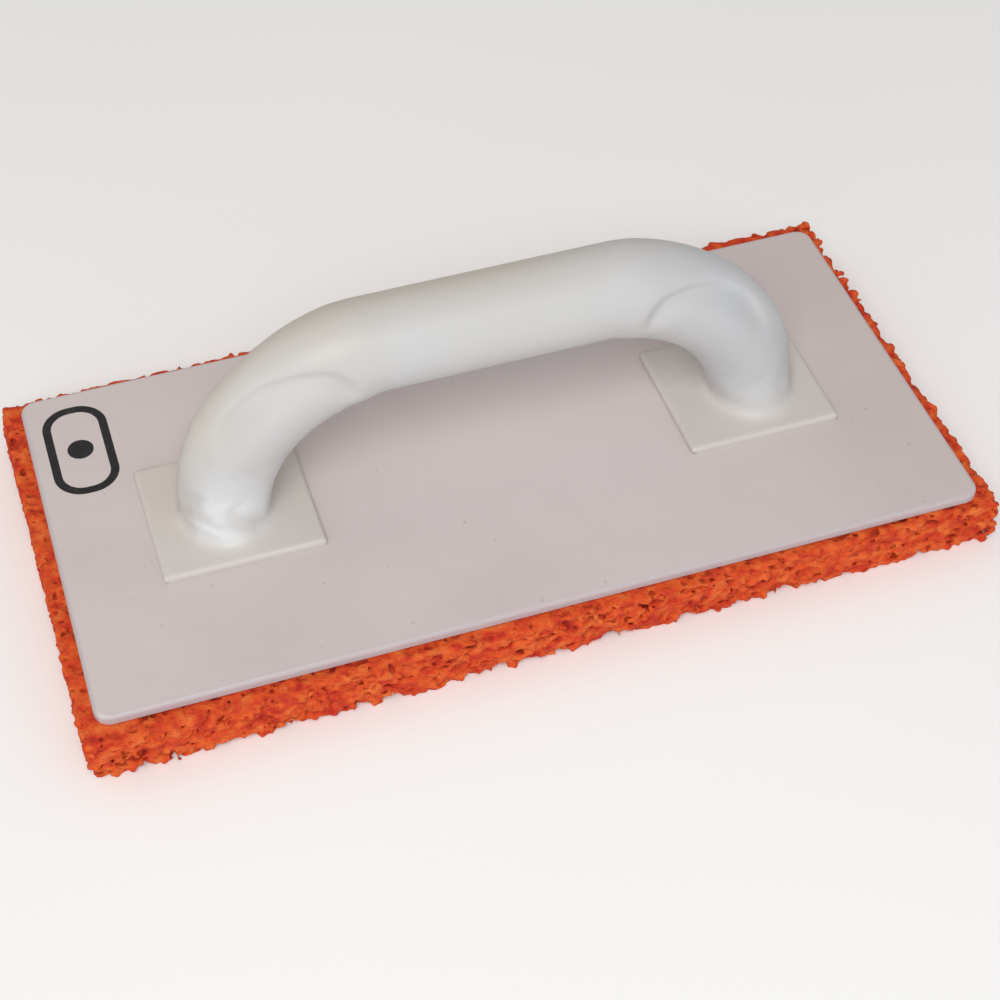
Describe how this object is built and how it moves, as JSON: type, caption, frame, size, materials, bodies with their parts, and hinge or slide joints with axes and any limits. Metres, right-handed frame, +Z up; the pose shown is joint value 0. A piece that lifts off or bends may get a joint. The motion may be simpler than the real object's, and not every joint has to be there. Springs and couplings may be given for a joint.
{
  "type": "grout float",
  "caption": "Sponge-faced grout float: coarse orange sponge pad under a rigid plastic backing plate, with a white bow handle on square feet.",
  "frame": {"origin": "centre of the sponge pad's bottom face, which is the centre of the bottom of the bounding box", "axes": "+X along the float's length and the grip, +Y across it towards the printed emblem's edge, +Z up from the pad to the grip"},
  "size_m": [0.28, 0.14, 0.0876],
  "materials": {
    "sponge": "coarse open-cell sponge",
    "adhesive": "cured contact adhesive",
    "plate": "satin moulded plastic",
    "handle": "glossy milky moulded plastic",
    "screw": "zinc-plated",
    "ink": "flat printed ink"
  },
  "bodies": {
    "root": {"sponge_pad": "sponge", "adhesive_layer": "adhesive", "backing_plate": "plate", "handle": "handle", "handle_screws": "screw", "corner_emblem": "ink"}
  },
  "joints": []
}
